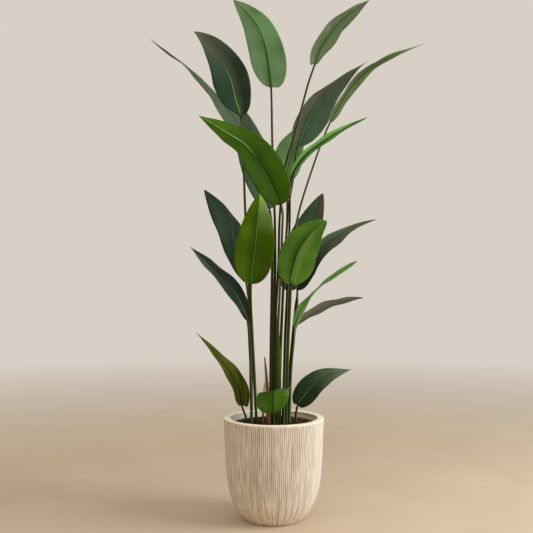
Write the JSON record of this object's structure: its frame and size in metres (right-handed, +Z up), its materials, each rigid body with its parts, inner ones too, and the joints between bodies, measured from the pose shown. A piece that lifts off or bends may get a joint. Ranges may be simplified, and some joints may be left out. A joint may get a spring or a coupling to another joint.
{
  "type": "potted bird of paradise",
  "caption": "Tall potted bird of paradise with broad pointed leaves on long upright stalks, standing in soil in a round fluted planter.",
  "frame": {"origin": "middle of the planter's flat base, on the surface it stands on", "axes": "+Z up along the stalks, +X to the right and -Y towards the viewer, seen from the front"},
  "size_m": [0.9213, 0.3575, 1.7289],
  "materials": {
    "planter_composite": "matt cream and tan fibre-cement composite, combed upright, smooth at the lip",
    "soil": "matt dark crumbly potting soil",
    "leaf_bright": "glossy bright green leaf with a pale midrib",
    "leaf_dark": "satin dark green leaf, greyer on its underside",
    "leaf_hazy": "satin blue-green leaf with a fine bloom",
    "leaf_olive": "satin olive green young leaf",
    "dried_shoot": "matt brown dried leaf sheath"
  },
  "bodies": {
    "root": {"planter": "planter_composite", "soil": "soil", "frond_crown": "leaf_hazy", "frond_upper_left": "leaf_dark", "frond_far_left": "leaf_hazy", "frond_back_left": "leaf_dark", "frond_front_left": "leaf_bright", "frond_upper_right": "leaf_hazy", "frond_right": "leaf_dark", "frond_far_right": "leaf_hazy", "frond_right_slender": "leaf_bright", "frond_back_right_high": "leaf_hazy", "frond_mid_left": "leaf_dark", "frond_front_upright": "leaf_bright", "frond_low_left": "leaf_dark", "frond_front_right": "leaf_bright", "frond_back_right": "leaf_dark", "frond_mid_right": "leaf_dark", "frond_low_right_slender": "leaf_bright", "frond_low_right": "leaf_dark", "frond_pot_left": "leaf_olive", "frond_pot_right": "leaf_dark", "frond_pot_front": "leaf_bright", "dried_shoot_tall": "dried_shoot", "dried_shoot_short": "dried_shoot"}
  },
  "joints": []
}
